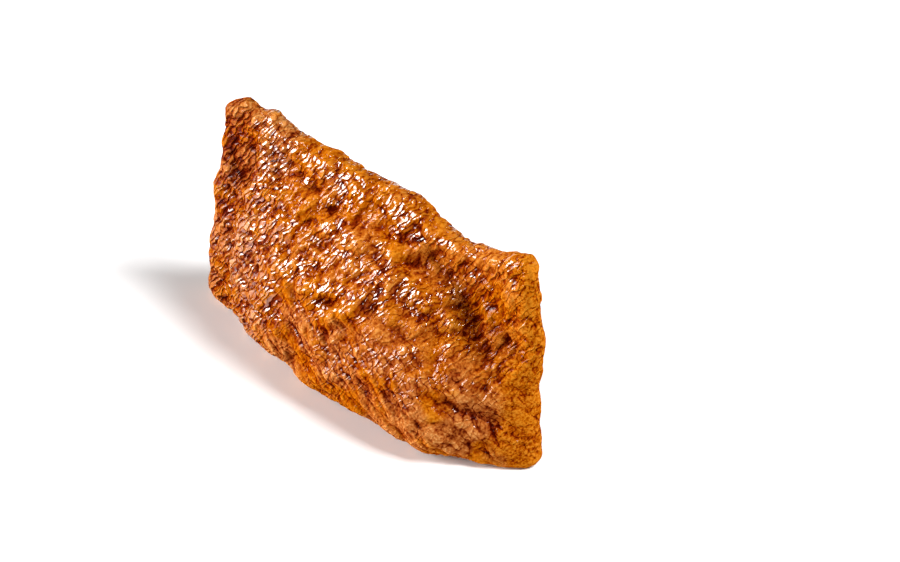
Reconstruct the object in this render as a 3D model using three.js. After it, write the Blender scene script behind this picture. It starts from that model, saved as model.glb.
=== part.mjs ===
// Inari sushi: one simmered fried-tofu pouch, packed fat with rice and standing on its folded mouth.
// The rice is shut in, so the pouch is one closed solid that carries the crumpled relief of its skin.
//
// Millimetres, +Z up. X runs along the pouch, Y goes through its thickness, and -Y is the front.
// The origin is the middle of the footprint, at the level that the pouch stands on.
//
// The skin is two sheets, front and back. They are pressed together in a rim along the ridge and down
// both ends, and they meet in the lip seam under the belly. Each sheet is a row of sections, and each
// section is a flat foot, a rolled lower edge and a cheek that climbs to the ridge.
import * as THREE from "three";
import { ImprovedNoise } from "three/addons/math/ImprovedNoise.js";
import { mergeVertices } from "three/addons/utils/BufferGeometryUtils.js";

// ---- the pouch as a whole ----
const BASE_LENGTH = 66.8; // between the two lower corners
const RIDGE_LENGTH = 60.8; // between the two upper corners
const HEIGHT = 39.8; // from the footprint to the tip of the upper left corner
const THICKNESS = 25.2; // across the fullest part of the filling
const FOOT_WIDTH = 12.4; // flat underside where the filling is fullest
const WIDEST_HEIGHT = { left: 14, right: 8.5 }; // level at which the belly is widest, towards each end
const RIDGE_LEAN = 2.8; // how far the ridge stands behind the lower corners
const CORNER_RADIUS = { lower: { left: 2.6, right: 1.6 }, upper: { left: 2.4, right: 1.2 } };

// ---- the pressed rim, where the sheets lie on each other with no rice between ----
const RIM = { left: 2.8, right: 3.4, ridge: 3.0 }; // thickness at each end and along the ridge
const EDGE_ROUNDING = 0.9; // reach of the rounding along the rim's edge
const EDGE_SHARE = 0.78; // share of the rim's thickness that is left at its very edge
const EDGE_SWELL = 0.4; // how far the middle of the edge stands out
const BEAD = { reach: 2.0, left: 0.4, right: 0.1, ridge: 0.4 }; // the edge is a soft bead
// Between the bead and the belly the skin falls in. At the ends this fades out towards the ridge.
const NECK = { reach: 4.6, spread: 2.0, left: 0.6, right: 0.1, ridge: 0.15, fade: 7 };
const RIM_START = { end: 0.9, ridge: 0.92 }; // place and share of a section from which the skin is rim
const EAR_CURL = { left: 0.6, right: 1.2, from: 0.62, low: 20, high: 36 }; // the upper corners curl forward
const THINNEST = 1.15; // neither sheet comes closer to the middle plane than this
const LIP = { gap: 1.8, depth: 1.0, fade: 5 }; // the seam between the folded lips, gone at the ends

// ---- the filling: places run from -1 at the left end to 1 at the right end ----
// Share of the full belly at each place, for the front. The back has the same, seen from behind.
const BELLY = [
  [-1, 0],
  [-0.9, 0.13],
  [-0.7, 0.43],
  [-0.48, 0.71],
  [-0.25, 0.8],
  [0, 0.92],
  [0.35, 1],
  [0.58, 0.95],
  [0.8, 0.54],
  [1, 0],
];
// Slackness of the cheek at each place: above 1 it falls in below the ridge, below 1 it is plump.
const CHEEK_SLACK = [
  [-1, 1.4],
  [-0.8, 0.7],
  [-0.4, 0.62],
  [0.1, 0.66],
  [0.4, 0.9],
  [0.7, 1.4],
  [1, 1.5],
];
// The front of the foot lifts off the table beside the right corner.
const FOOT_LIFT = { place: 0.74, reach: 0.1, height: 1.1, share: 0.1, fade: 7 };

// ---- wavy edges: [place or share of the height, offset outwards] ----
const RIDGE_LINE = [
  [-1, 0],
  [-0.96, 0.6],
  [-0.9, -0.5],
  [-0.8, -0.4],
  [-0.72, 0.2],
  [-0.58, -1.5],
  [-0.3, -1.5],
  [-0.06, -2.4],
  [0.13, -1.9],
  [0.3, -2.8],
  [0.4, -4.6],
  [0.54, -5.4],
  [0.72, -4.2],
  [0.88, -2.1],
  [1, -0.2],
];
const LEFT_END_LINE = [
  [0, 0],
  [0.3, 0.6],
  [0.43, 0],
  [0.55, 0.6],
  [0.68, -0.1],
  [1, -0.3],
];
const RIGHT_END_LINE = [
  [0, 0],
  [0.22, -0.4],
  [0.45, 0.1],
  [0.6, 1.4],
  [0.76, 0.8],
  [1, 1.2],
];

// ---- relief of the skin ----
const PUFF = { size: 6.2, height: 1.35 }; // blisters of fried skin, shut in by creases
const BLISTER = { size: 3.4, height: 0.55, draw: 17 }; // smaller ones on top of them
const CRUMPLE = { size: 10, shift: 1.5, draws: [3.7, 11.3, 29.1] }; // bends the lines of all the others
const SWELL = 2.1; // how fast a blister rises from its crease
const CREASE_SHARPNESS = 0.55; // below 1, a blister is rounder and the crease beside it sharper
const PLEAT = { width: 3.0, run: 9, height: 1.0 }; // short ridges of bunched skin
// How the pleats lean from upright: over the upper cheek, over the lower belly and near the ends.
const PLEAT_LEAN = { upper: 33, lower: -48, end: 24 };
const PLEAT_TURN = { low: 9, high: 18 }; // heights between which their lean turns over
const END_REACH = { from: 0.45, to: 0.8 }; // places between which they stand up towards an end
const LIP_CALM = 0.06; // share of a section, from the seam, over which the relief sets in
// The skin is stretched smoother over the lower right of the front, where the filling is fullest.
const STRETCHED = { share: 0.55, from: -4, to: 8, low: 14, high: 21 };
const FLAT_FOOT_LEVEL = 0.4; // skin lower than this lies flat on the table
const RIM_CALM = 0.5; // share of the relief that is left on the rim
const CORNER_CALM = 0.2; // and at its upper corners

// Pockets of the front, where the skin falls in: middle, half width, half height, depth.
const FRONT_POCKETS = [
  { x: -26.2, z: 31, rx: 2.8, rz: 5.5, depth: 3.4 }, // behind the upper left rim
  { x: -28, z: 20, rx: 1.7, rz: 4, depth: 1.2 }, // groove beside the lower left rim
  { x: -18, z: 33, rx: 2.4, rz: 2, depth: 0.6 }, // a row of hollows below the ridge
  { x: -8, z: 33.5, rx: 4, rz: 2.2, depth: 0.7 },
  { x: 5.5, z: 33, rx: 3.6, rz: 2.2, depth: 1.4 },
  { x: 13, z: 33.4, rx: 3.6, rz: 2.2, depth: 1.5 },
  { x: 18, z: 31.5, rx: 2.6, rz: 2.6, depth: 1.2 },
  { x: 24, z: 29.5, rx: 3.2, rz: 4, depth: 1.6 }, // below the right ear
  { x: 29, z: 23.5, rx: 3, rz: 3.6, depth: 0.8 }, // behind the right rim
];
// Folds of the front, from one end to the other: a height below 0 is a crease.
const FRONT_FOLDS = [
  { from: [-29, 25], to: [-22, 26.5], width: 1.5, height: 1.3 }, // bridge under the left pocket
  { from: [-22.4, 37], to: [-22.8, 26], width: 1.5, height: 1.3 }, // crest on the right of the pocket
  { from: [0, 31], to: [11, 32], width: 1.5, height: 1.0 }, // brow over the belly
  { from: [8, 30.6], to: [14, 29], width: 1.0, height: -1.0 }, // crease under the brow
  { from: [13, 31], to: [19, 27], width: 1.7, height: -1.5 }, // valley beside the belly, upper half
  { from: [18.5, 27.5], to: [26, 21], width: 1.8, height: -1.6 }, // and its lower half
  { from: [15, 27.5], to: [21, 22.5], width: 1.3, height: 0.8 }, // crest on the belly's side of it
  { from: [18, 21.5], to: [24, 22.8], width: 0.9, height: -0.9 }, // crease across its foot
  { from: [21, 12.8], to: [28.5, 10.6], width: 1.2, height: -1.2 }, // arc over the right foot
  { from: [28, 10.8], to: [32, 8], width: 1.2, height: -1.0 },
  { from: [23, 9], to: [27, 4], width: 1.1, height: -0.8 },
  { from: [-6, 19.5], to: [-1, 25], width: 1.3, height: 0.8 }, // slanting crests on the belly
  { from: [0, 17.5], to: [4, 23.5], width: 1.3, height: 0.9 },
  { from: [3, 18], to: [6.5, 22.5], width: 1.2, height: -0.8 },
  { from: [-12.5, 24], to: [-8.5, 17], width: 1.8, height: 0.8 }, // swelling on the left of the belly
];
// The pockets and folds of the back are drawn by lot, within these ranges.
const BACK_LOT = {
  seed: 71,
  stray: [-1.5, 1.5],
  pockets: { count: 8, x: [-26, 26], z: [24, 32], rx: [3, 4.6], rz: [2.6, 5], depth: [0.8, 2.2] },
  folds: {
    count: 11,
    x: [-23, 23],
    z: [7, 27],
    lean: [-30, 55],
    reach: [4, 7],
    width: [1.1, 1.7],
    height: [0.5, 1.0],
  },
};

// How much of its height a fold has at its ends, as shares of a half wave.
const FOLD_TAPER = { from: 0.15, to: 0.85 };
// Heights between which the pockets and folds set in above the foot.
const CHEEK_START = { low: 1, high: 5 };

// ---- mesh ----
const END_GRIP = 7; // how closely the waves and rounded corners of an end keep to it
const ALONG = 60; // cells from end to end
const AROUND = 44; // cells of one sheet from the lip seam up to the ridge
const ACROSS_RIM = 3; // cells over the rim's thickness
const SECTION_STEPS = 120; // divisions by which a section's length is measured
const LINE_STEPS = 96; // divisions of a wavy line

const LOT = { factor: 16807, modulus: 2147483647 }; // steps of the draw by lot

const COLOUR = 0xb5651d; // simmered brown

const { degToRad, lerp: mix, smoothstep: rise } = THREE.MathUtils;
const clamp01 = (value) => Math.min(1, Math.max(0, value));
const noise = new ImprovedNoise();

/** Reads a smooth curve through [place, value] pairs at any place. */
function lineThrough(pairs) {
  const spline = new THREE.SplineCurve(pairs.map(([place, value]) => new THREE.Vector2(place, value)));
  const samples = spline.getPoints(LINE_STEPS);
  return (place) => {
    const after = samples.findIndex((sample) => sample.x >= place);
    if (after === 0) return samples[0].y;
    if (after < 0) return samples.at(-1).y;
    const [low, high] = [samples[after - 1], samples[after]];
    return mix(low.y, high.y, (place - low.x) / (high.x - low.x));
  };
}

const ridgeOffset = lineThrough(RIDGE_LINE);
const leftEndOffset = lineThrough(LEFT_END_LINE);
const rightEndOffset = lineThrough(RIGHT_END_LINE);
const bellyShare = lineThrough(BELLY);
const cheekSlack = lineThrough(CHEEK_SLACK);

/** Y of the pouch's middle plane, which leans back towards the ridge and curls forward at its ears. */
function middlePlane(place, height) {
  const curl = place < 0 ? EAR_CURL.left : EAR_CURL.right;
  const share = rise(Math.abs(place), EAR_CURL.from, 1) * rise(height, EAR_CURL.low, EAR_CURL.high);
  return (RIDGE_LEAN * height) / HEIGHT - curl * share;
}

/**
 * Half a section through the pouch, from the lip seam round to the ridge. A point's x is its distance
 * from the middle plane and its y is its height.
 */
class Section extends THREE.Curve {
  constructor(place, fullness, slack) {
    super();
    this.arcLengthDivisions = SECTION_STEPS;
    this.rim = mix(RIM.left, RIM.right, (place + 1) / 2) / 2;
    this.widest = mix(this.rim, THICKNESS / 2, fullness);
    this.foot = mix(this.rim, FOOT_WIDTH / 2, fullness);
    this.lip = Math.min(LIP.gap / 2, this.foot);
    this.widestHeight = mix(WIDEST_HEIGHT.left, WIDEST_HEIGHT.right, (place + 1) / 2);
    this.top = HEIGHT + ridgeOffset(place);
    this.slack = slack;
  }

  /** The foot, the rolled edge and the cheek take a third of t each. */
  getPoint(t, target = new THREE.Vector2()) {
    const stretch = Math.min(2, Math.floor(t * 3));
    const share = t * 3 - stretch;
    if (stretch === 0) return target.set(mix(this.lip, this.foot, share), 0);
    if (stretch === 1) return this.rolledEdge(share, target);
    return this.cheek(share, target);
  }

  rolledEdge(share, target) {
    const angle = (share * Math.PI) / 2;
    const out = mix(this.foot, this.widest, Math.sin(angle));
    return target.set(out, this.widestHeight * (1 - Math.cos(angle)));
  }

  cheek(share, target) {
    const fall = Math.sin((Math.pow(1 - share, this.slack) * Math.PI) / 2) ** 2;
    const height = mix(this.widestHeight, this.top, share);
    const rim = mix(this.rim, RIM.ridge / 2, clamp01(share * 2)) * edgeShare(this.top - height);
    return target.set(mix(rim, this.widest, fall), height);
  }
}

/** Share of the rim's thickness that is left this close to its edge. */
function edgeShare(reach) {
  const inside = clamp01(1 - reach / EDGE_ROUNDING);
  return mix(EDGE_SHARE, 1, Math.sqrt(1 - inside * inside));
}

/** Height of the bead and depth of the neck at these distances from one end and from the ridge. */
function rimRelief(side, toEnd, toRidge) {
  const bead = (reach) => Math.exp(-((reach / BEAD.reach) ** 2));
  const neck = (reach) => Math.exp(-(((reach - NECK.reach) / NECK.spread) ** 2));
  const endNeck = NECK[side] * neck(toEnd) * rise(toRidge, 0, NECK.fade);
  const out = Math.max(BEAD[side] * bead(toEnd), BEAD.ridge * bead(toRidge));
  return out - Math.max(endNeck, NECK.ridge * neck(toRidge));
}

/** How much a rounded corner takes off the length at this distance from its edge. */
function cornerCut(radius, reach) {
  const inside = clamp01(1 - reach / radius);
  return radius * (1 - Math.sqrt(1 - inside * inside));
}

/** Distance from the pouch's middle to one of its ends, at a height. */
function endDistance(side, height, top) {
  const straight = mix(BASE_LENGTH, RIDGE_LENGTH, height / HEIGHT) / 2;
  const wave = side === "left" ? leftEndOffset(height / HEIGHT) : rightEndOffset(height / HEIGHT);
  const lower = cornerCut(CORNER_RADIUS.lower[side], height);
  const upper = cornerCut(CORNER_RADIUS.upper[side], Math.max(0, top - height));
  return { straight, wave: wave - lower - upper };
}

/** Rounded blisters with creases between them: 0 in a crease, about 1 on top. */
function blisters(x, y, z) {
  const swell = clamp01(Math.abs(noise.noise(x, y, z)) * SWELL);
  return Math.pow(swell, CREASE_SHARPNESS);
}

/** Blisters drawn out into pleats that lean from upright by an angle in degrees. */
function pleats({ x, y, z }, lean) {
  const [sin, cos] = [Math.sin(degToRad(lean)), Math.cos(degToRad(lean))];
  const across = x * cos - z * sin;
  const along = x * sin + z * cos;
  return blisters(across / PLEAT.width + lean, y / PLEAT.run, along / PLEAT.run);
}

/** The point moved by a slow, soft noise, which crumples any pattern that is read there. */
function crumpled(point) {
  const at = point.clone().divideScalar(CRUMPLE.size);
  const shift = (offset) => CRUMPLE.shift * noise.noise(at.x + offset, at.y, at.z);
  return new THREE.Vector3(...CRUMPLE.draws.map(shift)).add(point);
}

/** Height of the skin's puffs and pleats at a point, about 0 on average. */
function skinRelief(point, place) {
  const at = crumpled(point);
  const puff = blisters(at.x / PUFF.size, at.y / PUFF.size, at.z / PUFF.size);
  const blister = blisters(at.x / BLISTER.size + BLISTER.draw, at.y / BLISTER.size, at.z / BLISTER.size);
  const upper = rise(point.z, PLEAT_TURN.low, PLEAT_TURN.high);
  const belly = mix(pleats(at, PLEAT_LEAN.lower), pleats(at, PLEAT_LEAN.upper), upper);
  const atEnd = rise(Math.abs(place), END_REACH.from, END_REACH.to);
  const pleat = mix(belly, pleats(at, PLEAT_LEAN.end), atEnd);
  return PUFF.height * (puff - 0.5) + BLISTER.height * (blister - 0.5) + PLEAT.height * (pleat - 0.5);
}

/** One of the two sheets, with its own belly, pockets and folds. */
class Sheet {
  constructor(towards, pockets, folds) {
    this.towards = towards; // -1 for the front, 1 for the back
    this.pockets = pockets;
    this.folds = folds;
    this.sections = new Map();
  }

  /** The sheet's section at a place. The back mirrors the front's belly. */
  section(place) {
    if (!this.sections.has(place)) {
      const seen = -this.towards * place;
      this.sections.set(place, new Section(place, bellyShare(seen), cheekSlack(seen)));
    }
    return this.sections.get(place);
  }

  /** Depth of the pockets and height of the folds at (x, z). */
  relief(x, z) {
    const spot = new THREE.Vector3(x, 0, z);
    const pockets = this.pockets.map((pocket) => this.pocketRelief(pocket, spot));
    const folds = this.folds.map((fold) => this.foldRelief(fold, spot));
    return [...pockets, ...folds].reduce((sum, height) => sum + height, 0);
  }

  pocketRelief({ x, z, rx, rz, depth }, spot) {
    return -depth * Math.exp(-(((spot.x - x) / rx) ** 2) - ((spot.z - z) / rz) ** 2);
  }

  foldRelief({ from, to, width, height }, spot) {
    const line = new THREE.Line3(new THREE.Vector3(from[0], 0, from[1]), new THREE.Vector3(to[0], 0, to[1]));
    const share = line.closestPointToPointParameter(spot, true);
    const away = line.at(share, new THREE.Vector3()).distanceTo(spot) / width;
    const taper = Math.sin(Math.PI * mix(FOLD_TAPER.from, FOLD_TAPER.to, share));
    return height * taper * Math.exp(-away * away);
  }
}

/** A draw of evenly spread numbers between two limits, the same every time. */
function seededDraw(seed) {
  let state = seed;
  return ([low, high]) => {
    state = (state * LOT.factor) % LOT.modulus;
    return mix(low, high, state / LOT.modulus);
  };
}

/** The back sheet: its pockets and folds are spread along it and drawn by lot. */
function backSheet() {
  const draw = seededDraw(BACK_LOT.seed);
  const spread = ({ count, x }, i) => mix(x[0], x[1], i / (count - 1)) + draw(BACK_LOT.stray);
  const { pockets, folds } = BACK_LOT;
  const backPockets = Array.from({ length: pockets.count }, (_, i) => ({
    x: spread(pockets, i),
    z: draw(pockets.z),
    rx: draw(pockets.rx),
    rz: draw(pockets.rz),
    depth: draw(pockets.depth),
  }));
  const backFolds = Array.from({ length: folds.count }, (_, i) => {
    const middle = new THREE.Vector2(spread(folds, i), draw(folds.z));
    const half = new THREE.Vector2(draw(folds.reach), 0);
    half.rotateAround(new THREE.Vector2(), degToRad(draw(folds.lean)));
    return {
      from: middle.clone().sub(half).toArray(),
      to: middle.clone().add(half).toArray(),
      width: draw(folds.width),
      height: draw(folds.height) * (i % 2 ? 1 : -1),
    };
  });
  return new Sheet(1, backPockets, backFolds);
}

const FRONT = new Sheet(-1, FRONT_POCKETS, FRONT_FOLDS);
const BACK = backSheet();

/** A closed box whose long faces become the two sheets, and its other faces the rim and the lip seam. */
function cageBox() {
  const box = new THREE.BoxGeometry(2, 2, 2, ALONG, ACROSS_RIM, AROUND);
  box.deleteAttribute("normal");
  box.deleteAttribute("uv");
  return mergeVertices(box);
}

/** Where a corner of the cage lies on the smooth pouch. through runs from -1, front, to 1, back. */
function smoothPoint({ place, through, share }) {
  const [front, back] = [FRONT.section(place), BACK.section(place)];
  const [frontPoint, backPoint] = [front.getPointAt(share), back.getPointAt(share)];
  const backShare = (through + 1) / 2;
  const height = mix(frontPoint.y, backPoint.y, backShare);
  const end = endDistance(place < 0 ? "left" : "right", height, front.top);
  const reach = (1 - Math.abs(place)) * end.straight;
  const swell = EDGE_SWELL * (1 - through * through);
  const atEnd = Math.abs(place) === 1 ? swell : 0;
  const atRidge = share === 1 ? swell : 0;
  const inSeam = share === 0 ? LIP.depth * (1 - through * through) * rise(reach, 0, LIP.fade) : 0;
  const lift = through < 0 ? footLift(place, height, share) : 0;
  const out = Math.abs(place) * end.straight + end.wave * Math.abs(place) ** END_GRIP + atEnd;
  const y = mix(-frontPoint.x, backPoint.x, backShare) * edgeShare(reach);
  return new THREE.Vector3(
    Math.sign(place) * out,
    y + middlePlane(place, height),
    height + atRidge + inSeam + lift,
  );
}

/** How far the front of the foot stands off the table. */
function footLift(place, height, share) {
  const away = (place - FOOT_LIFT.place) / FOOT_LIFT.reach;
  const left = rise(share, 0, FOOT_LIFT.share) * clamp01(1 - height / FOOT_LIFT.fade);
  return FOOT_LIFT.height * Math.exp(-away * away) * left;
}

/** 1 where the front's skin is stretched smooth over the filling, 0 elsewhere. */
function stretchedShare({ x, z }) {
  return rise(x, STRETCHED.from, STRETCHED.to) * (1 - rise(z, STRETCHED.low, STRETCHED.high));
}

/** The finished pouch: its smooth form with the relief on it, foot flat, footprint round the origin. */
function pouchGeometry() {
  const geometry = cageBox();
  const position = geometry.getAttribute("position");
  const corners = Array.from({ length: position.count }, (_, i) => ({
    place: position.getX(i),
    through: position.getY(i),
    share: (position.getZ(i) + 1) / 2,
  }));
  corners.forEach((corner, i) => position.setXYZ(i, ...smoothPoint(corner)));
  geometry.computeVertexNormals();

  const normal = geometry.getAttribute("normal");
  corners.forEach(({ place, through, share }, i) => {
    const point = new THREE.Vector3().fromBufferAttribute(position, i);
    const outwards = new THREE.Vector3().fromBufferAttribute(normal, i);
    const sheet = through < 0 ? FRONT : BACK;
    const [atEnd, atRidge] = [rise(Math.abs(place), RIM_START.end, 1), rise(share, RIM_START.ridge, 1)];
    const onRim = Math.max(atEnd, atRidge);
    const onCheek = rise(point.z, CHEEK_START.low, CHEEK_START.high) * (1 - onRim);
    const onStretch = through < 0 ? stretchedShare(point) : 0;
    const calm = mix(mix(1, RIM_CALM, onRim), CORNER_CALM, atEnd * atRidge)
      * mix(1, STRETCHED.share, onStretch) * rise(share, 0, LIP_CALM);
    const toEnd = ((1 - Math.abs(place)) * BASE_LENGTH) / 2;
    const toRidge = sheet.section(place).top - point.z;
    const rim = rimRelief(place < 0 ? "left" : "right", toEnd, toRidge);
    const skin = skinRelief(point, place) * calm + rim;
    point.addScaledVector(outwards, skin + sheet.relief(point.x, point.z) * onCheek);
    const onSheet = Math.abs(through) === 1;
    if (onSheet && share < 1) keepApart(point, through, place);
    if (onSheet && point.z < FLAT_FOOT_LEVEL) point.z = 0;
    position.setXYZ(i, point.x, point.y, Math.max(0, point.z));
  });

  geometry.computeBoundingBox();
  const middle = geometry.boundingBox.getCenter(new THREE.Vector3());
  geometry.translate(-middle.x, -middle.y, 0);
  geometry.computeVertexNormals();
  return geometry;
}

/** Keeps a point of a sheet on its own side of the middle plane. */
function keepApart(point, side, place) {
  const middle = middlePlane(place, point.z);
  point.y = middle + side * Math.max(THINNEST, side * (point.y - middle));
}

function tofuPouch() {
  const skin = new THREE.MeshStandardMaterial({ color: COLOUR, roughness: 0.35, metalness: 0 });
  const mesh = new THREE.Mesh(pouchGeometry(), skin);
  mesh.name = "tofu_pouch";
  return mesh;
}

const inariSushi = new THREE.Group();
inariSushi.add(tofuPouch());

export default inariSushi;
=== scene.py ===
"""One piece of inari sushi: a pouch of simmered fried tofu skin, standing on its long lower edge.

Everything is in metres, +Z up, with the long axis along X and the front of the pouch facing -Y.
Wrinkles are given in millimetres, as a cook would measure them.
"""

from __future__ import annotations

import logging
import math
from dataclasses import dataclass, replace
from enum import Enum
from typing import Any, Sequence

import bpy
from mathutils import Matrix, Vector


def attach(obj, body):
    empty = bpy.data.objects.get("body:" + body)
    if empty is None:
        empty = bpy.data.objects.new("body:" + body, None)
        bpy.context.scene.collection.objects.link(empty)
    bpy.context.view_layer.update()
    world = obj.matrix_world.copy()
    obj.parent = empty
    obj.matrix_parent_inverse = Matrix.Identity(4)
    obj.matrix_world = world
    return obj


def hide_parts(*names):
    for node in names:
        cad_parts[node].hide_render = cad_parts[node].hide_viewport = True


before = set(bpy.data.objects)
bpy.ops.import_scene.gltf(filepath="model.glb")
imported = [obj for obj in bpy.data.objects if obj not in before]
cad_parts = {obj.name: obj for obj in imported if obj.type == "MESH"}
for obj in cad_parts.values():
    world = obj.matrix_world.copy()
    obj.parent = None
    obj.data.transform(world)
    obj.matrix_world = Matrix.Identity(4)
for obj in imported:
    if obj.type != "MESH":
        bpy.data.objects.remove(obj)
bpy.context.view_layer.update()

LOG = logging.getLogger("inari_sushi")
MM = 0.001
TABLE_LEVEL = 0.0
NOISE_REACH = 1.9  # brings a random pattern to a height of about 1
NOISE_MIDDLE = (0.5, 0.5, 0.5)
DRAW_STEP = (1.0, 1.7, -2.3)  # how far apart two draws of one random pattern lie
SOCKET_KINDS = {"Rest": "NodeSocketVector", "Skin": "NodeSocketGeometry"}
FOLD_NAMES = ("Plates", "Scales", "Strokes", "Cells", "Threads", "Slopes", "Pores", "Keen")


class Lean(Enum):
    """How far from upright a run of wrinkles leans, in degrees, with its top towards +X."""

    GATHERED = 38.0
    RISING = 32.0
    FALLING = -48.0


class Shape(Enum):
    """What the section of a fold looks like."""

    PLATE = "flat on top, parted by narrow cracks"
    RIDGE = "thin and winding, standing up from a smooth ground"
    BRISTLE = "flat-sided and side by side, like bristles, in short broken rows"
    SLOPE = "the wide side of each bristle, on its own"


class Mark(Enum):
    """Names of the values that the skin's mesh keeps for its finish."""

    REST = "rest"
    DENT = "dent"
    HOLLOW = "hollow"
    GATHERED = "gathered"
    FALLING = "falling"


# ---------------------------------------------------------------------------------------------
# Node trees
# ---------------------------------------------------------------------------------------------


@dataclass(frozen=True)
class Ease:
    """A soft change of one value with another.

    Attributes:
        start: where the change starts.
        end: where it ends.
        low: the value up to the start.
        high: the value from the end on.
    """

    start: float
    end: float
    low: float = 0.0
    high: float = 1.0


@dataclass(frozen=True)
class Trend:
    """A value that goes evenly with another.

    Attributes:
        base: the value where the other is 0.
        gain: how much it grows until the other is 1.
    """

    base: float
    gain: float

    def at(self, other: Field) -> Field:
        """Return the value for this value of the other."""
        return other * self.gain + self.base


@dataclass(frozen=True)
class Mottle:
    """A random pattern of soft patches.

    Attributes:
        size: the size of one patch in millimetres.
        seed: which draw of the pattern it is.
        detail: how many finer layers it has.
    """

    size: float
    seed: float
    detail: float = 0.0


@dataclass(frozen=True)
class Field:
    """A value or a direction that changes over the skin, with the node tree that works it out."""

    graph: Graph
    socket: bpy.types.NodeSocket

    def __add__(self, other: Field | float) -> Field:
        """Return the sum."""
        return self.graph.math("ADD", self, other)

    def __sub__(self, other: Field | float) -> Field:
        """Return the difference."""
        return self.graph.math("SUBTRACT", self, other)

    def __mul__(self, other: Field | float) -> Field:
        """Return the product."""
        return self.graph.math("MULTIPLY", self, other)

    def __abs__(self) -> Field:
        """Return this value without its sign."""
        return self.graph.math("ABSOLUTE", self)

    def less_from_one(self) -> Field:
        """Return one minus this value."""
        return self.graph.math("SUBTRACT", 1.0, self)


class Graph:
    """A node tree that is being filled."""

    def __init__(self, tree: bpy.types.NodeTree) -> None:
        """Start from a tree.

        Args:
            tree: the tree that gets the nodes.
        """
        self.tree = tree

    def feed(self, socket: bpy.types.NodeSocket, value: Any) -> None:
        """Join a field to a socket, or set the socket's own value.

        Args:
            socket: the input socket.
            value: a Field, a number or a sequence of numbers.
        """
        if isinstance(value, Field):
            self.tree.links.new(value.socket, socket)
        else:
            socket.default_value = value

    def node(self, kind: str, inputs: dict[Any, Any] | None = None, **settings: Any) -> bpy.types.Node:
        """Add one node.

        Args:
            kind: the node's type name.
            inputs: what each input gets, by its name or place.
            **settings: the node's own settings.

        Returns:
            The new node.
        """
        node = self.tree.nodes.new(kind)
        for name, value in settings.items():
            setattr(node, name, value)
        for name, value in (inputs or {}).items():
            self.feed(node.inputs[name], value)
        return node

    def out(self, node: bpy.types.Node, name: Any = 0) -> Field:
        """Return one output of a node as a field."""
        return Field(self, node.outputs[name])

    def given(self) -> dict[str, Field]:
        """Return what the tree is given, by name."""
        return {socket.name: Field(self, socket) for socket in self.node("NodeGroupInput").outputs}

    def math(self, operation: str, *values: Field | float) -> Field:
        """Work on numbers.

        Args:
            operation: the name of the sum.
            *values: what goes in.

        Returns:
            The result.
        """
        return self.out(self.node("ShaderNodeMath", dict(enumerate(values)), operation=operation))

    def highest(self, first: Field, *others: Field) -> Field:
        """Find the highest of several values.

        Args:
            first: the first value.
            *others: the others.

        Returns:
            The highest.
        """
        for other in others:
            first = self.math("MAXIMUM", first, other)
        return first

    def vector(self, operation: str, *values: Field | Sequence[float]) -> Field:
        """Work on directions and places.

        Args:
            operation: the name of the sum.
            *values: what goes in.

        Returns:
            The result, a number for a dot product and a vector otherwise.
        """
        node = self.node("ShaderNodeVectorMath", dict(enumerate(values)), operation=operation)
        return self.out(node, "Value" if operation == "DOT_PRODUCT" else "Vector")

    def scaled(self, vector: Field, factor: Field | float) -> Field:
        """Return a vector made longer or shorter by a factor."""
        node = self.node("ShaderNodeVectorMath", {0: vector, "Scale": factor}, operation="SCALE")
        return self.out(node, "Vector")

    def apart(self, vector: Field) -> tuple[Field, Field, Field]:
        """Return the three parts of a vector."""
        node = self.node("ShaderNodeSeparateXYZ", {0: vector})
        return self.out(node, 0), self.out(node, 1), self.out(node, 2)

    def together(self, x: Field | float, y: Field | float, z: Field | float) -> Field:
        """Return a vector made of three parts."""
        return self.out(self.node("ShaderNodeCombineXYZ", {0: x, 1: y, 2: z}))

    def ramp(self, value: Field, ease: Ease) -> Field:
        """Ease from one value to another.

        Args:
            value: the value that it goes by.
            ease: the change.

        Returns:
            The eased value.
        """
        inputs = {"Value": value, "From Min": ease.start, "From Max": ease.end, "To Min": ease.low,
                  "To Max": ease.high}
        return self.out(self.node("ShaderNodeMapRange", inputs, interpolation_type="SMOOTHSTEP"))

    def mix(self, share: Field, first: Field, second: Field) -> Field:
        """Mix two numbers.

        Args:
            share: how much of the second.
            first: the value at a share of nothing.
            second: the value at a share of one.

        Returns:
            The mixed value.
        """
        return self.out(self.node("ShaderNodeMix", {0: share, 2: first, 3: second}, data_type="FLOAT"))

    def tint(self, share: Field, first: Field, second: Field) -> Field:
        """Mix two colours.

        Args:
            share: how much of the second.
            first: the colour at a share of nothing.
            second: the colour at a share of one.

        Returns:
            The mixed colour.
        """
        return self.out(self.node("ShaderNodeMix", {0: share, 6: first, 7: second}, data_type="RGBA"), 2)

    def random(self, place: Field, mottle: Mottle, **settings: Any) -> bpy.types.Node:
        """Add a random pattern.

        Args:
            place: where it is read, in millimetres.
            mottle: the pattern.
            **settings: the node's own settings.

        Returns:
            The node.
        """
        moved = self.vector("ADD", place, tuple(step * mottle.seed for step in DRAW_STEP))
        inputs = {"Vector": moved, "Scale": 1.0 / mottle.size, "Detail": mottle.detail}
        return self.node("ShaderNodeTexNoise", inputs, **settings)

    def noise(self, place: Field, mottle: Mottle) -> Field:
        """Return smooth random values between about -1 and 1."""
        return self.out(self.random(place, mottle, normalize=False))

    def swirl(self, place: Field, mottle: Mottle) -> Field:
        """Return smooth random directions, whose parts are between about -0.5 and 0.5."""
        return self.vector("SUBTRACT", self.out(self.random(place, mottle), 1), NOISE_MIDDLE)


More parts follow.
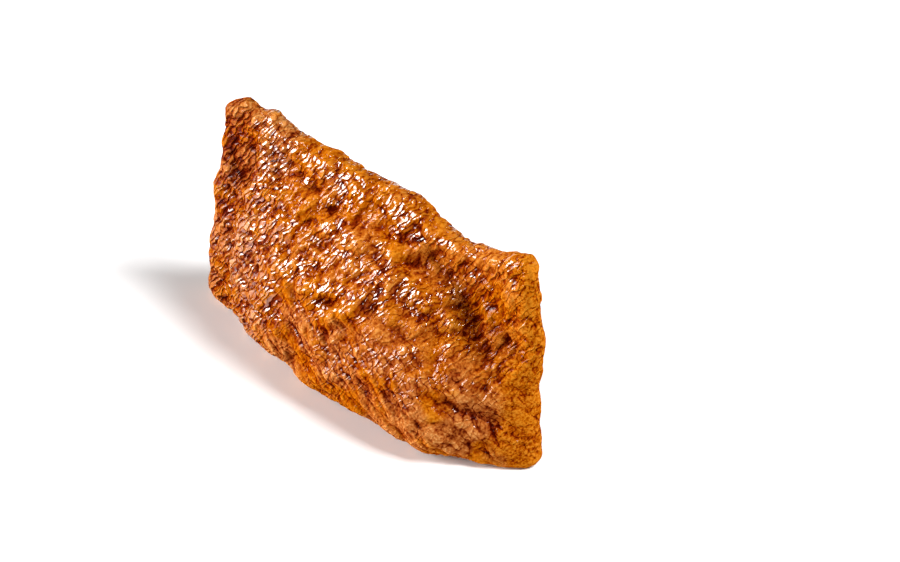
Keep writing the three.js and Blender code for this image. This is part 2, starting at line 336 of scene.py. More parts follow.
def new_group(name: str, kind: str, inputs: Sequence[str], outputs: Sequence[str]) -> Graph:
    """Start a node group with named sockets.

    Args:
        name: the name of the group.
        kind: the kind of tree.
        inputs: the names of what it is given.
        outputs: the names of what it puts out.

    Returns:
        The graph that fills it.
    """
    tree = bpy.data.node_groups.new(name, kind)
    for side, names in (("INPUT", inputs), ("OUTPUT", outputs)):
        for label in names:
            socket_kind = SOCKET_KINDS.get(label, "NodeSocketFloat")
            tree.interface.new_socket(label, in_out=side, socket_type=socket_kind)
    return Graph(tree)


# ---------------------------------------------------------------------------------------------
# The folds
# ---------------------------------------------------------------------------------------------


@dataclass(frozen=True)
class Rows:
    """How bristles stand in rows.

    Attributes:
        stray: how far a row wanders, in its own widths.
        wide: how much of a bristle's width its wide side takes.
        patch: the size of one patch of rows, in runs.
        draw: how far its draw lies from that of the rows.
        edge: how softly a patch ends.
        slope_start: where on a bristle its wide side counts as begun.
        slope_end: where it counts as ended.
    """

    stray: float = 0.45
    wide: float = 0.7
    patch: float = 0.7
    draw: float = 9.0
    edge: float = 0.2
    slope_start: Ease = Ease(0.18, 0.28)
    slope_end: Ease = Ease(0.74, 0.69)


@dataclass(frozen=True)
class Fold:
    """One size of wrinkle in the skin, in millimetres.

    Attributes:
        width: distance across one fold.
        run: distance along one fold.
        height: how far it stands out.
        wander: how far its line strays.
        seed: which draw of the pattern it is.
        shape: the section of one fold.
        flank: how much of a plate or ridge its flank takes, or above which level of their random
            pattern the bristles stand.
        rows: how its bristles stand.
        rounding: how softly a crack opens out into its plate.
        swirl: size of the swirls that it strays in, in widths.
        swirl_draw: how far their draw lies from that of the folds.
    """

    width: float
    run: float
    height: float
    wander: float
    seed: float
    shape: Shape = Shape.PLATE
    flank: float = 0.5
    rows: Rows = Rows()
    rounding: float = 0.4
    swirl: float = 1.6
    swirl_draw: float = 5.0

    def pattern(self, graph: Graph, place: Field, lean: Lean) -> Field:
        """Draw the folds with one lean.

        Args:
            graph: the tree that works it out.
            place: the place on the skin in millimetres, already strayed.
            lean: how the folds lean.

        Returns:
            The height from 0 in a crease to about 1 on a crest.
        """
        turn = {"Vector": place, "Angle": math.radians(-lean.value)}
        turned = graph.out(graph.node("ShaderNodeVectorRotate", turn, rotation_type="Y_AXIS"))
        stretched = graph.vector("DIVIDE", turned, (self.width, self.width, self.run))
        value = graph.noise(stretched, Mottle(1.0, self.seed + lean.value)) * NOISE_REACH
        if self.shape in (Shape.BRISTLE, Shape.SLOPE):
            return self.bristles(graph, turned, value)
        if self.shape is Shape.RIDGE:
            return graph.ramp(abs(value), Ease(self.flank, 0.0))
        return graph.math("SMOOTH_MIN", abs(value) * (1.0 / self.flank), 1.0, self.rounding)

    def bristles(self, graph: Graph, turned: Field, wandering: Field) -> Field:
        """Draw bristles in short broken rows.

        Args:
            graph: the tree that works it out.
            turned: the place, turned so that the rows stand upright.
            wandering: which way each row wanders, from -1 to 1.

        Returns:
            The height of the bristles, or a mask of their wide sides.
        """
        rows = self.rows
        across = graph.apart(turned)[0] * (1.0 / self.width) + wandering * rows.stray
        phase = graph.math("FRACT", across)
        patch = graph.noise(turned, Mottle(self.run * rows.patch, self.seed + rows.draw))
        present = graph.ramp(patch, Ease(self.flank - rows.edge, self.flank))
        if self.shape is Shape.SLOPE:
            return present * graph.ramp(phase, rows.slope_start) * graph.ramp(phase, rows.slope_end)
        wide_side = phase * (1.0 / rows.wide)
        steep_side = phase.less_from_one() * (1.0 / (1.0 - rows.wide))
        heights = graph.math("MINIMUM", wide_side, steep_side)
        return (present * heights.less_from_one()).less_from_one()

    def strayed(self, graph: Graph, place: Field) -> Field:
        """Return the place shifted at random, so that no fold runs straight."""
        swirl = graph.swirl(place, Mottle(self.width * self.swirl, self.seed + self.swirl_draw))
        return graph.vector("ADD", place, graph.scaled(swirl, self.wander))

    def heights(self, graph: Graph, place: Field, gathered: Field, falling: Field) -> Field:
        """Draw the folds over the whole skin, each lean where it belongs.

        Args:
            graph: the tree that works it out.
            place: the place on the skin in millimetres.
            gathered: 1 where the folds stand close together at the end.
            falling: 1 where they fall towards +X.

        Returns:
            The height from 0 in a crease to about 1 on a crest.
        """
        strayed = self.strayed(graph, place)
        rising = self.pattern(graph, strayed, Lean.RISING)
        lower = graph.mix(falling, rising, self.pattern(graph, strayed, Lean.FALLING))
        return graph.mix(gathered, lower, self.pattern(graph, strayed, Lean.GATHERED))


@dataclass(frozen=True)
class Wrinkling:
    """All the folds of the skin, from the largest that the solid leaves out to the finest.

    Attributes:
        plates: the flat swellings between the cracks.
        scales: the smaller ones on them.
        ridges: the winding ridges.
        strokes: the short keen folds.
        cells: the net of the finest cracks, which only the finish has.
        threads: the finest bristles, which only the finish has and which catch the light.
    """

    plates: Fold = Fold(4.6, 6.4, 0.16, 3.0, 3.0, Shape.PLATE, 0.35)
    scales: Fold = Fold(2.1, 4.2, 0.08, 1.8, 11.0, Shape.PLATE, 0.5)
    ridges: Fold = Fold(1.6, 3.4, 0.1, 0.9, 23.0, Shape.RIDGE, 0.5)
    strokes: Fold = Fold(1.9, 3.6, 0.25, 0.8, 31.0, Shape.BRISTLE, -0.05)
    cells: Fold = Fold(1.25, 2.0, 0.035, 1.0, 57.0, Shape.PLATE, 0.3)
    threads: Fold = Fold(0.8, 1.9, 0.17, 0.3, 43.0, Shape.BRISTLE, -0.35)


# ---------------------------------------------------------------------------------------------
# The skin
# ---------------------------------------------------------------------------------------------


@dataclass(frozen=True)
class Zones:
    """Where the folds change their lean, in millimetres.

    Attributes:
        borders: the random pattern that the borders wander by.
        wander: how far they wander.
        gathered: where along the pouch the folds stand close together.
        falling_up: below which height they fall towards +X.
        falling_along: from where along the pouch they do.
    """

    borders: Mottle = Mottle(9.0, 41.0)
    wander: float = 7.0
    gathered: Ease = Ease(-9.5, -17.0)
    falling_up: Ease = Ease(22.0, 15.0)
    falling_along: Ease = Ease(-19.0, -9.0)


@dataclass(frozen=True)
class Probe:
    """How the depth of a place below its surroundings is measured.

    Attributes:
        steps: how far around the surroundings reach, in edges.
        span: the depth in millimetres that counts as one.
    """

    steps: int
    span: float


@dataclass
class PouchSkin:
    """The wrinkled skin of the pouch, modelled over its solid.

    Attributes:
        solid: the solid that it stands for.
        name: the name of the piece.
        body: the body that it rides on.
        slot: the name of a finish slot; it is not used.
        rounding: how many times each face is split in four.
        merge: how close two corners of the solid are to be one, in metres.
        wrinkling: its folds.
        zones: where they change their lean.
        sink: how far the skin lies below the solid before its folds rise, in millimetres.
        grip: how the folds set in above the foot, by height in millimetres.
        calm: how much of the folds is left, by how sharply an edge stands out.
        edges: how an edge is measured.
        dents: how the small dents are measured.
        hollows: how the wide hollows are measured.
    """

    solid: str = "tofu_pouch"
    name: str = "tofu_skin"
    body: str = "root"
    slot: str = "tofu_skin"
    rounding: int = 2
    merge: float = 1e-6
    wrinkling: Wrinkling = Wrinkling()
    zones: Zones = Zones()
    sink: float = 0.25
    grip: Ease = Ease(0.05, 0.9)
    calm: Ease = Ease(-1.2, -0.3, 0.5, 1.0)
    edges: Probe = Probe(200, 1.0)
    dents: Probe = Probe(14, 0.30)
    hollows: Probe = Probe(260, 1.5)

    def copy_solid(self) -> bpy.types.Object:
        """Copy the solid's mesh into a piece of its own.

        Returns:
            The new piece, with nothing of the solid's but its shape.
        """
        bpy.ops.object.select_all(action="DESELECT")
        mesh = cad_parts[self.solid].data.copy()
        mesh.name = self.name
        mesh.materials.clear()
        skin = bpy.data.objects.new(self.name, mesh)
        bpy.context.scene.collection.objects.link(skin)
        bpy.context.view_layer.objects.active = skin
        skin.select_set(True)
        return skin

    def join_faces(self) -> None:
        """Join the loose triangles of the active piece into one closed net of four-sided faces."""
        bpy.ops.object.mode_set(mode="EDIT")
        bpy.ops.mesh.select_all(action="SELECT")
        bpy.ops.mesh.remove_doubles(threshold=self.merge)
        bpy.ops.mesh.tris_convert_to_quads(face_threshold=math.pi, shape_threshold=math.pi)
        bpy.ops.mesh.faces_shade_smooth()
        bpy.ops.object.mode_set(mode="OBJECT")

    def refine(self, skin: bpy.types.Object) -> None:
        """Split the faces finely and round them off.

        Args:
            skin: the piece, which is the active one.
        """
        finer = skin.modifiers.new("finer", "SUBSURF")
        finer.levels = self.rounding
        finer.render_levels = self.rounding
        bpy.ops.object.modifier_apply(modifier=finer.name)

    def raise_folds(self, skin: bpy.types.Object) -> None:
        """Raise the folds out of the smooth skin and keep their places for the finish.

        Args:
            skin: the piece, which is the active one.
        """
        relief = skin.modifiers.new("folds", "NODES")
        relief.node_group = self.relief_tree()
        bpy.ops.object.modifier_apply(modifier=relief.name)

    def relief_tree(self) -> bpy.types.NodeTree:
        """Make the node tree that raises the folds.

        Returns:
            The geometry node tree.
        """
        graph = new_group("skin_folds", "GeometryNodeTree", ("Skin",), ("Skin",))
        skin = graph.given()["Skin"]
        place = graph.scaled(graph.out(graph.node("GeometryNodeInputPosition")), 1.0 / MM)
        along, _, up = graph.apart(place)
        zones = self.zones
        stray = graph.noise(place, zones.borders) * zones.wander
        gathered = graph.ramp(along + stray, zones.gathered)
        falling = (graph.ramp(up + stray, zones.falling_up)
                   * graph.ramp(along + stray, zones.falling_along))
        skin = self.stored(graph, skin, Mark.GATHERED, gathered)
        skin = self.stored(graph, skin, Mark.FALLING, falling)
        skin = self.stored(graph, skin, Mark.REST, place, "FLOAT_VECTOR")

        skin = self.lifted(graph, skin, self.lift(graph, place, gathered, falling))
        skin = self.flattened(graph, skin)
        skin = self.stored(graph, skin, Mark.DENT, self.depth(graph, self.dents))
        skin = self.stored(graph, skin, Mark.HOLLOW, self.depth(graph, self.hollows))
        graph.node("NodeGroupOutput", {0: skin})
        return graph.tree

    def lift(self, graph: Graph, place: Field, gathered: Field, falling: Field) -> Field:
        """Say how far each point is lifted.

        Args:
            graph: the tree that works it out.
            place: the place on the skin in millimetres.
            gathered: 1 where the folds stand close together at the end.
            falling: 1 where they fall towards +X.

        Returns:
            The lift in millimetres.
        """
        folds = self.wrinkling
        lift = folds.plates.heights(graph, place, gathered, falling) * folds.plates.height - self.sink
        for fold in (folds.scales, folds.ridges, folds.strokes):
            lift = lift + fold.heights(graph, place, gathered, falling) * fold.height
        grip = graph.ramp(graph.apart(place)[2], self.grip)
        return lift * grip * graph.ramp(self.depth(graph, self.edges), self.calm)

    def lifted(self, graph: Graph, skin: Field, lift: Field) -> Field:
        """Move each point of the skin outwards.

        Args:
            graph: the tree that works it out.
            skin: the mesh.
            lift: how far, in millimetres.

        Returns:
            The mesh with its points moved.
        """
        normal = graph.out(graph.node("GeometryNodeInputNormal"))
        offset = graph.scaled(normal, lift * MM)
        return graph.out(graph.node("GeometryNodeSetPosition", {"Geometry": skin, "Offset": offset}))

    def flattened(self, graph: Graph, skin: Field) -> Field:
        """Press the skin flat where it would reach below the table.

        Args:
            graph: the tree that works it out.
            skin: the mesh.

        Returns:
            The mesh with nothing below the table.
        """
        x, y, z = graph.apart(graph.out(graph.node("GeometryNodeInputPosition")))
        flat = graph.together(x, y, graph.math("MAXIMUM", z, TABLE_LEVEL))
        return graph.out(graph.node("GeometryNodeSetPosition", {"Geometry": skin, "Position": flat}))

    def depth(self, graph: Graph, probe: Probe) -> Field:
        """Measure how deep each point lies below its surroundings.

        Args:
            graph: the tree that works it out.
            probe: how it is measured.

        Returns:
            The depth, above 0 in a hollow and below 0 on a crest.
        """
        place = graph.out(graph.node("GeometryNodeInputPosition"))
        normal = graph.out(graph.node("GeometryNodeInputNormal"))
        blurred = graph.node("GeometryNodeBlurAttribute", {"Value": place, "Iterations": probe.steps},
                             data_type="FLOAT_VECTOR")
        shift = graph.vector("SUBTRACT", graph.out(blurred), place)
        return graph.vector("DOT_PRODUCT", shift, normal) * (1.0 / (probe.span * MM))

    def stored(self, graph: Graph, skin: Field, mark: Mark, value: Field, kind: str = "FLOAT") -> Field:
        """Keep a value on the mesh's points.

        Args:
            graph: the tree that works it out.
            skin: the mesh.
            mark: the name that the value gets.
            value: the value.
            kind: whether it is a number or a vector.

        Returns:
            The mesh with the value.
        """
        node = graph.node("GeometryNodeStoreNamedAttribute", {"Geometry": skin, "Name": mark.value},
                          data_type=kind, domain="POINT")
        graph.feed(node.inputs["Value"], value)
        return graph.out(node)

    def build(self, finish: SimmeredFinish) -> bpy.types.Object:
        """Model the skin, dress it and hang it on its body.

        Args:
            finish: what the skin looks like.

        Returns:
            The finished piece.
        """
        skin = self.copy_solid()
        self.join_faces()
        self.refine(skin)
        self.raise_folds(skin)
        skin.data.materials.append(finish.material())
        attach(skin, self.body)
        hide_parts(self.solid)
        triangles = sum(len(face.vertices) - 2 for face in skin.data.polygons)
        LOG.info("%s: %d points, %d triangles", skin.name, len(skin.data.vertices), triangles)
        return skin


# ---------------------------------------------------------------------------------------------
# The finish
# ---------------------------------------------------------------------------------------------


def colour(red: int, green: int, blue: int) -> tuple[float, float, float, float]:
    """Turn a screen colour into the linear colour that a shader takes.

    Args:
        red: red from 0 to 255.
        green: green from 0 to 255.
        blue: blue from 0 to 255.

    Returns:
        The linear colour with an alpha of one.
    """
    def linear(part: int) -> float:
        """Return one part of the colour by the sRGB curve, from 0 to 1."""
        share = part / 255.0
        return share / 12.92 if share <= 0.04045 else ((share + 0.055) / 1.055) ** 2.4
    return linear(red), linear(green), linear(blue), 1.0


@dataclass(frozen=True)
class FineRelief:
    """How far the finish raises what the mesh can't hold.

    Attributes:
        plates: height of the edges of the plates, in millimetres.
        scales: the same for the scales.
        strokes: the same for the strokes.
        pores: the same for the pores.
        cells: how much of their height the cells have, by how far the folds fall.
        gathered: how much higher the threads stand where the folds are gathered.
        falling: how much lower they stand where the folds fall.
        keen: how much of their height the threads have, by how keen the skin is.
        keen_patches: the patches where the skin is keen.
        keen_edge: how those patches end.
        keen_gathered: how keen it is at least where the folds are gathered.
    """

    plates: float = 0.06
    scales: float = 0.04
    strokes: float = 0.04
    pores: float = 0.008
    cells: Trend = Trend(1.0, 0.3)
    gathered: float = 0.5
    falling: float = 0.3
    keen: Trend = Trend(0.6, 0.5)
    keen_patches: Mottle = Mottle(5.0, 91.0, 1.0)
    keen_edge: Ease = Ease(-0.3, 0.12)
    keen_gathered: float = 0.95


@dataclass(frozen=True)
class ToneAndPaintedShade:
    """How each thing makes the skin paler or browner, where 0 is the darkest brown and 1 the palest;
    besides the skin's own tone it holds painted shade in creases and hollows and painted light on crests.

    Attributes:
        ground: how pale plain skin is.
        crest: the height at which a fold leaves the skin as it is.
        plates: how much paler the top of a plate is, as painted light on its crest.
        scales: the same for a scale.
        slopes: the same for the wide side of a thread, which faces the lamps: painted light.
        crack: how the painted shade in a crack deepens towards its bottom.
        plate_cracks: how much painted shade the cracks between plates get.
        scale_cracks: the same for the cracks between scales.
        crack_patches: the patches where the cracks get painted shade.
        crack_edge: how those patches end.
        contrast: how strongly the painted shade of the finest folds shows, by how keen the skin is.
        strokes: how strongly the strokes show, paler above their crests and with painted shade in their
            furrows, by how low on the front they are.
        threads: the same for the threads.
        cells: how strongly the cells show, with painted shade in their cracks.
        cells_lower: how much more they do low on the front.
        pores: how strongly the pores show.
        pores_rim: how much more they do on the right rim.
        pores_keen: how much less they do where the skin is keen.
        blotches: the random blotches.
        blotch: how strong they are.
        dent: how much painted shade a dent gets, partly the broth's stain.
        hollow: the same for a hollow.
        corner: how much painted shade the upper left corner gets.
        left_rim: how much darker the left rim is.
        lower: how much painted shade the lower front gets.
        gathered: how much paler the gathered end is.
    """

    ground: float = 0.56
    crest: float = 0.8
    # Painted light on the tops of plates and scales and on the lit wide sides of the threads.
    plates: float = 0.06
    scales: float = 0.04
    slopes: float = 0.06
    # Painted shade in the cracks and furrows.
    crack: Ease = Ease(0.3, 0.0)
    plate_cracks: float = 0.2
    scale_cracks: float = 0.16
    crack_patches: Mottle = Mottle(3.0, 81.0)
    crack_edge: Ease = Ease(-0.1, 0.4)
    contrast: Trend = Trend(0.4, 0.7)
    strokes: Trend = Trend(0.28, -0.08)
    threads: Trend = Trend(0.34, -0.18)
    cells: float = 0.36
    cells_lower: float = 0.04
    pores: float = 0.32
    pores_rim: float = 0.26
    pores_keen: float = 0.08
    blotches: Mottle = Mottle(5.0, 51.0, 2.0)
    blotch: float = 0.08
    # Painted shade in dents and hollows, partly the broth's stain, and on the upper left corner and the
    # lower front.
    dent: float = 0.2
    hollow: float = 0.15
    corner: float = 0.18
    left_rim: float = 0.08
    lower: float = 0.06
    gathered: float = 0.01


@dataclass(frozen=True)
class SoakingAndPaintedSheen:
    """Where the broth has soaked in, and where it still lies on the skin as a wet film; and where a
    painted sheen, a paler pinker colour, stands in for the soft reflection of the pale surroundings.

    Attributes:
        borders: the random pattern that the borders of the matt places wander by.
        wander: how far they wander, in millimetres.
        rim: how matt the right rim is, along the pouch.
        corner_along: how the matt upper left corner begins, along the pouch.
        corner_up: how matt it is, by height.
        pocket_along: how the matt pocket beside the right rim begins, along the pouch.
        pocket_up: how matt it is, by height.
        left_wander: how much of the wander the left rim's border has.
        left_rim: how matt the left rim is, along the pouch.
        lower: how matt the lower front is.
        hollow: how much film is left in the wide hollows.
        sunk: how much of it is left in the deepest places.
        film: how much film lies on the wide sides of the threads.
        patches: how much of it there is, by how keen the skin is.
        facing_up: how much stays on a surface, by how far that faces up.
        gathered: how much stays at least where the folds are gathered.
        painted_sheen_patches: the patches of painted sheen.
        painted_sheen_edge: how those patches end.
        painted_sheen: how much painted sheen they have anywhere.
        painted_sheen_lower: how much more of it there is low on the front.
        painted_sheen_gathered: how much more of it there is where the folds are gathered.
        roughness: how rough the skin is, by how much film lies on it.
    """

    borders: Mottle = Mottle(6.0, 61.0)
    wander: float = 3.0
    rim: Ease = Ease(28.0, 31.0, 0.0, 0.95)
    corner_along: Ease = Ease(-21.5, -25.0)
    corner_up: Ease = Ease(22.0, 27.0, 0.0, 0.9)
    pocket_along: Ease = Ease(18.0, 23.0)
    pocket_up: Ease = Ease(33.0, 30.0, 0.0, 0.75)
    left_wander: float = 0.5
    left_rim: Ease = Ease(-26.5, -29.5, 0.0, 0.7)
    lower: float = 0.78
    hollow: Ease = Ease(0.9, 0.35, 0.3, 1.0)
    sunk: Ease = Ease(1.2, 0.3, 0.05, 1.0)
    film: Trend = Trend(0.02, 0.98)
    patches: Trend = Trend(0.2, 0.8)
    facing_up: Ease = Ease(0.28, 0.46)
    gathered: float = 0.75
    # Painted sheen: a paler, pinker colour in place of the soft reflection of the pale surroundings.
    painted_sheen_patches: Mottle = Mottle(6.5, 101.0, 2.0)
    painted_sheen_edge: Ease = Ease(-0.3, 0.25)
    painted_sheen: float = 0.25
    painted_sheen_lower: float = 0.5
    painted_sheen_gathered: float = 0.4
    roughness: Ease = Ease(0.0, 1.0, 0.65, 0.4)


@dataclass(frozen=True)
class SimmeredFinish:
    """Fried tofu skin, simmered brown in sweet soy broth and still wet.

    Attributes:
        wrinkling: the folds of the skin.
        relief: how far the finish raises them.
        tone_and_painted_shade: how brown each thing makes the skin, with painted shade in its creases and
            hollows and painted light on its crests.
        soaking_and_sheen: where the skin is wet or matt, and where it gets painted sheen.
        shades: the colours from the darkest painted shade in a crease to a crest, each with its place.
        painted_sheen_shades: the same where the skin gets painted sheen, paler and pinker in place of the
            soft reflection of the pale surroundings.
        pores: the random pattern of the pores.
        bare_shine: how much the skin itself shines, without the film.
        film_roughness: how rough the film is.
        film_bend: how strongly the film bends light, which sets how brightly it mirrors.
    """

    wrinkling: Wrinkling = Wrinkling()
    relief: FineRelief = FineRelief()
    tone_and_painted_shade: ToneAndPaintedShade = ToneAndPaintedShade()
    soaking_and_sheen: SoakingAndPaintedSheen = SoakingAndPaintedSheen()
    # From the painted shade in the deepest creases to the crests.
    shades: tuple[tuple[float, tuple[int, int, int]], ...] = (
        (0.0, (68, 8, 0)),
        (0.28, (116, 34, 2)),
        (0.5, (146, 66, 0)),
        (0.72, (168, 88, 6)),
        (1.0, (188, 112, 22)),
    )
    # Painted sheen colours, paler and pinker.
    painted_sheen_shades: tuple[tuple[float, tuple[int, int, int]], ...] = (
        (0.0, (58, 6, 0)),
        (0.3, (104, 34, 8)),
        (0.55, (148, 76, 30)),
        (0.8, (176, 106, 54)),
        (1.0, (204, 142, 84)),
    )
    pores: Mottle = Mottle(0.35, 3.0, 1.0)
    bare_shine: float = 0.0
    film_roughness: float = 0.12
    film_bend: float = 2.0

    def fine_folds(self, graph: Graph, at: dict[str, Field]) -> tuple[Field, dict[str, Field]]:
        """Draw the folds again, finer than the mesh can hold them.

        Args:
            graph: the tree that works it out.
            at: what the mesh keeps for each place, by name.

        Returns:
            The height of all the folds together, in millimetres, and each kind by its name.
        """
        rest, gathered, falling = at["Rest"], at["Gathered"], at["Falling"]
        folds, relief = self.wrinkling, self.relief
        plates, scales, strokes, cells = (
            fold.heights(graph, rest, gathered, falling)
            for fold in (folds.plates, folds.scales, folds.strokes, folds.cells))
        strayed = folds.threads.strayed(graph, rest)
        threads = folds.threads.pattern(graph, strayed, Lean.RISING)
        slopes = replace(folds.threads, shape=Shape.SLOPE).pattern(graph, strayed, Lean.RISING)
        pores = graph.noise(rest, self.pores)
        keen = graph.highest(graph.ramp(graph.noise(rest, relief.keen_patches), relief.keen_edge),
                             gathered * relief.keen_gathered)
        crowded = gathered * relief.gathered - falling * relief.falling + 1.0
        height = (plates * relief.plates + scales * relief.scales + strokes * relief.strokes
                  + cells * relief.cells.at(falling) * folds.cells.height
                  + threads * crowded * relief.keen.at(keen) * folds.threads.height
                  + pores * relief.pores)
        drawn = (plates, scales, strokes, cells, threads, slopes, pores, keen)
        return height, dict(zip(FOLD_NAMES, drawn))

    def tone_and_painted_shade_group(self) -> bpy.types.NodeTree:
        """Make the group that says how brown each place is, with painted shade, painted light and painted
        sheen, and how thick the broth lies on it.

        Returns:
            The shader node group.
        """
        marks = tuple(mark.value.title() for mark in Mark)
        graph = new_group("skin_tone_and_painted_shade", "ShaderNodeTree", (*FOLD_NAMES, *marks),
                          ("Shade", "Wet", "Painted Sheen"))
        at = graph.given()
        soaking_and_sheen = self.soaking_and_sheen
        along, _, up = graph.apart(at["Rest"])
        stray = graph.noise(at["Rest"], soaking_and_sheen.borders) * soaking_and_sheen.wander
        at["Lower"] = at["Falling"] * at["Gathered"].less_from_one()
        at["Rim"] = graph.ramp(along + stray, soaking_and_sheen.rim)
        at["Corner"] = graph.ramp(along, soaking_and_sheen.corner_along) * graph.ramp(up, soaking_and_sheen.corner_up)
        at["Pocket"] = (graph.ramp(along + stray, soaking_and_sheen.pocket_along)
                        * graph.ramp(up, soaking_and_sheen.pocket_up))
        at["Left Rim"] = graph.ramp(along + stray * soaking_and_sheen.left_wander, soaking_and_sheen.left_rim)
        graph.node("NodeGroupOutput", {"Shade": self.shade(graph, at), "Wet": self.film(graph, at),
                                       "Painted Sheen": self.painted_sheen_share(graph, at)})
        return graph.tree

    def shade(self, graph: Graph, at: dict[str, Field]) -> Field:
        """Say how pale or brown each place is: the skin's own pores and blotches, painted shade in the
        cracks, furrows, dents and hollows, on the upper left corner and the lower front, and painted
        light on the crests and the lit wide sides of the threads.

        Args:
            graph: the tree that works it out.
            at: what the skin is like at a place, by name.

        Returns:
            The shade, 0 the darkest brown and 1 the palest.
        """
        brown = self.tone_and_painted_shade
        contrast = brown.contrast.at(at["Keen"])
        # Painted shade in the cracks between plates and scales, in random patches.
        open_here = graph.ramp(graph.noise(at["Rest"], brown.crack_patches), brown.crack_edge)
        cracks = (graph.ramp(at["Plates"], brown.crack) * brown.plate_cracks
                  + graph.ramp(at["Scales"], brown.crack) * brown.scale_cracks) * open_here
        # Painted light: paler tops of plates and scales, and paler wide sides of the threads, which face
        # the lamps.
        tops = at["Plates"] * brown.plates + at["Scales"] * brown.scales + at["Slopes"] * brown.slopes
        # Painted shade in the furrows of the strokes, threads and cells, and paler skin above their
        # crests.
        strokes = (at["Strokes"] - brown.crest) * brown.strokes.at(at["Lower"])
        threads = (at["Threads"] - brown.crest) * brown.threads.at(at["Lower"]) * contrast
        cells = (at["Cells"] - brown.crest) * (contrast * brown.cells + at["Lower"] * brown.cells_lower)
        pores = at["Pores"] * (at["Rim"] * brown.pores_rim - at["Keen"] * brown.pores_keen
                               + brown.pores)
        blotches = graph.noise(at["Rest"], brown.blotches) * brown.blotch
        # Painted shade in dents and hollows, partly the broth's stain.
        sunk = at["Dent"] * brown.dent + at["Hollow"] * brown.hollow
        # Painted shade on the upper left corner and the lower front; the left rim darker and the gathered
        # end a little paler.
        zones = (at["Gathered"] * brown.gathered - at["Corner"] * brown.corner
                 - at["Left Rim"] * brown.left_rim - at["Lower"] * brown.lower)
        return tops - cracks + strokes + threads + cells + pores + blotches - sunk + zones + brown.ground

    def film(self, graph: Graph, at: dict[str, Field]) -> Field:
        """Say how thick the wet film lies.

        Args:
            graph: the tree that works it out.
            at: what the skin is like at a place, by name.

        Returns:
            The thickness from 0, none, to 1.
        """
        soaking_and_sheen = self.soaking_and_sheen
        matt = graph.highest(at["Lower"] * soaking_and_sheen.lower, at["Rim"], at["Corner"], at["Left Rim"],
                             at["Pocket"])
        left = (graph.ramp(at["Hollow"], soaking_and_sheen.hollow)
                * graph.ramp(at["Dent"] + at["Hollow"], soaking_and_sheen.sunk))
        spread = soaking_and_sheen.film.at(at["Slopes"]) * soaking_and_sheen.patches.at(at["Keen"])
        return spread * matt.less_from_one() * left

    def painted_sheen_share(self, graph: Graph, at: dict[str, Field]) -> Field:
        """Say how much painted sheen each place gets: a paler, pinker colour that stands in for the soft
        reflection of the pale surroundings.

        Args:
            graph: the tree that works it out.
            at: what the skin is like at a place, by name.

        Returns:
            How much of the painted sheen colours it has, from 0 to 1.
        """
        soaking_and_sheen = self.soaking_and_sheen
        # Painted sheen in random patches, none on the right rim.
        patches = graph.ramp(graph.noise(at["Rest"], soaking_and_sheen.painted_sheen_patches), soaking_and_sheen.painted_sheen_edge)
        share = (at["Lower"] * soaking_and_sheen.painted_sheen_lower + at["Gathered"] * soaking_and_sheen.painted_sheen_gathered
                 + soaking_and_sheen.painted_sheen)
        return patches * at["Rim"].less_from_one() * share

    def shaded(self, graph: Graph, shade: Field,
               shades: tuple[tuple[float, tuple[int, int, int]], ...]) -> Field:
        """Look up colours by how pale or brown the skin is.

        Args:
            graph: the tree that works it out.
            shade: how pale each place is, 0 the darkest brown.
            shades: the colours, each with its place.

        Returns:
            The colour.
        """
        ramp = graph.node("ShaderNodeValToRGB", {0: shade})
        stops = ramp.color_ramp.elements
        for number, (share, screen_colour) in enumerate(shades):
            stop = stops[number] if number < len(stops) else stops.new(share)
            stop.position = share
            stop.color = colour(*screen_colour)
        return graph.out(ramp)

    def material(self) -> bpy.types.Material:
        """Make the material.

        Returns:
            The material of the skin.
        """
        material = bpy.data.materials.new("simmered_tofu_skin")
        material.use_nodes = True
        graph = Graph(material.node_tree)
        shader = graph.tree.nodes["Principled BSDF"]
        marks = {mark.value.title(): graph.out(
            graph.node("ShaderNodeAttribute", attribute_name=mark.value),
            "Vector" if mark is Mark.REST else "Fac") for mark in Mark}
        height, folds = self.fine_folds(graph, marks)
        browned = graph.node("ShaderNodeGroup", {**marks, **folds}, node_tree=self.tone_and_painted_shade_group())
        # The golden colours carry the painted shade and light; the others are the painted sheen.
        golden, painted_sheen = (self.shaded(graph, graph.out(browned, "Shade"), shades)
                        for shades in (self.shades, self.painted_sheen_shades))
        bump = graph.out(graph.node("ShaderNodeBump",
                                    {"Height": height, "Distance": MM, "Strength": 1.0}))
        facing_up = graph.ramp(graph.apart(bump)[2], self.soaking_and_sheen.facing_up)
        held = graph.highest(facing_up, marks["Gathered"] * self.soaking_and_sheen.gathered)
        wet = graph.out(browned, "Wet") * held
        for name, value in (
                # Base colour: the skin's tone with its painted shade and light, mixed with the painted
                # sheen colours.
                ("Base Color", graph.tint(graph.out(browned, "Painted Sheen"), golden, painted_sheen)),
                ("Roughness", graph.ramp(wet, self.soaking_and_sheen.roughness)),
                ("Coat Weight", wet),
                ("Normal", bump),
                ("Coat Normal", bump),
                ("Specular IOR Level", self.bare_shine),
                ("Coat Roughness", self.film_roughness),
                ("Coat IOR", self.film_bend)):
            graph.feed(shader.inputs[name], value)
        return material


# ---------------------------------------------------------------------------------------------
# The studio
# ---------------------------------------------------------------------------------------------


@dataclass(frozen=True)
class SoftLight:
    """A soft light, square or oblong.

    Attributes:
        name: the name of the light.
        place: where it hangs, in metres.
        width: its width, in metres.
        height: its height, in metres.
        power: its power in watts.
    """

    name: str
    place: tuple[float, float, float]
    width: float
    height: float
    power: float

    def build(self, target: Vector) -> None:
        """Hang the light and turn it to the target.

        Args:
            target: what it shines on, in metres.
        """
        lamp = bpy.data.lights.new(self.name, "AREA")
        lamp.shape = "RECTANGLE"
        lamp.size = self.width
        lamp.size_y = self.height
        lamp.energy = self.power
        holder = bpy.data.objects.new(self.name, lamp)
        holder.location = self.place
        holder.rotation_euler = (target - Vector(self.place)).to_track_quat("-Z", "Y").to_euler()
        bpy.context.scene.collection.objects.link(holder)


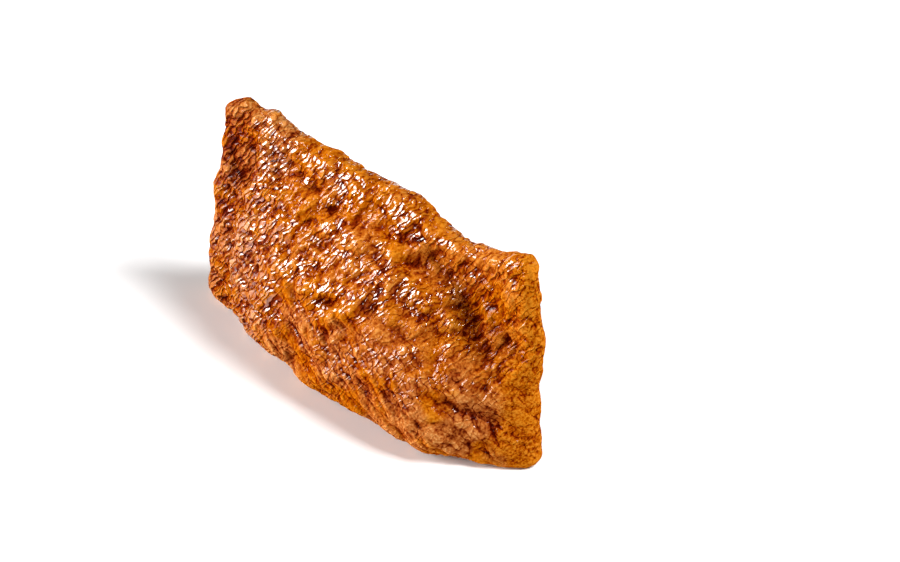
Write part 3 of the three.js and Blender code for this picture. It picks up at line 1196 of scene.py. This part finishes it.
@dataclass
class Studio:
    """The pale table, the soft light and the camera.

    Attributes:
        azimuth: how far the camera stands round to the right of the front, in degrees.
        elevation: how far it looks down, in degrees.
        distance: how far it stands from what it looks at, in metres.
        lens: its focal length in millimetres.
        sensor: the width of its sensor in millimetres.
        across: how far right of the middle of the pouch it looks, in metres.
        below: how far below that it looks, in metres.
        middle: the middle of the pouch, which the lights are turned to, in metres.
        lights: the soft lights.
        room_light: how bright the room itself is.
        table: the width of the table top, in metres.
        table_white: how much of the light the table top gives back.
        table_roughness: how rough it is.
    """

    azimuth: float = 40.012
    elevation: float = 40.0
    distance: float = 0.9
    lens: float = 229.5
    sensor: float = 36.0
    across: float = 0.01165
    below: float = 0.00081
    middle: tuple[float, float, float] = (0.0, 0.0, 0.02)
    lights: tuple[SoftLight, ...] = (
        SoftLight("key_light", (0.80, 0.22, 1.17), 0.5, 0.5, 32.0),
        SoftLight("window", (-0.92, -0.99, 0.52), 0.85, 0.75, 22.0),
        SoftLight("low_window", (-1.29, -0.64, 0.24), 1.15, 0.46, 23.0),
    )
    room_light: float = 0.03
    table: float = 4.0
    table_white: float = 0.9
    table_roughness: float = 0.6

    def lay_table(self) -> None:
        """Lay the pale table top."""
        bpy.ops.object.select_all(action="DESELECT")
        bpy.ops.mesh.primitive_plane_add(size=self.table)
        table = bpy.context.object
        table.name = "table_top"
        paint = bpy.data.materials.new("white_table")
        paint.use_nodes = True
        shader = paint.node_tree.nodes["Principled BSDF"]
        shader.inputs["Base Color"].default_value = (*[self.table_white] * 3, 1.0)
        shader.inputs["Roughness"].default_value = self.table_roughness
        table.data.materials.append(paint)

    def hang_lights(self) -> None:
        """Hang the soft lights and fill the room with plain white light."""
        for light in self.lights:
            light.build(Vector(self.middle))
        room = bpy.data.worlds.new("white_room")
        room.use_nodes = True
        backdrop = room.node_tree.nodes["Background"]
        backdrop.inputs["Color"].default_value = (1.0, 1.0, 1.0, 1.0)
        backdrop.inputs["Strength"].default_value = self.room_light
        bpy.context.scene.world = room

    def place_camera(self) -> None:
        """Place the camera."""
        turn, rise = math.radians(self.azimuth), math.radians(self.elevation)
        back = Vector((math.sin(turn) * math.cos(rise), -math.cos(turn) * math.cos(rise), math.sin(rise)))
        right = Vector((math.cos(turn), math.sin(turn), 0.0))
        above = back.cross(right)
        aim = Vector(self.middle) + right * self.across - above * self.below
        camera = bpy.data.cameras.new("camera")
        camera.lens = self.lens
        camera.sensor_width = self.sensor
        holder = bpy.data.objects.new("camera", camera)
        turned = Matrix((right, above, back)).transposed().to_4x4()
        holder.matrix_world = Matrix.Translation(aim + back * self.distance) @ turned
        bpy.context.scene.collection.objects.link(holder)
        bpy.context.scene.camera = holder

    def build(self) -> None:
        """Set up the whole studio."""
        self.lay_table()
        self.hang_lights()
        self.place_camera()
        bpy.context.scene.view_settings.view_transform = "Standard"
        LOG.info("studio: %d lights", len(self.lights))


def main() -> None:
    """Build the pouch and its studio."""
    logging.basicConfig(level=logging.INFO, format="%(name)s: %(message)s")
    PouchSkin().build(SimmeredFinish())
    Studio().build()


if __name__ == "__main__":
    main()
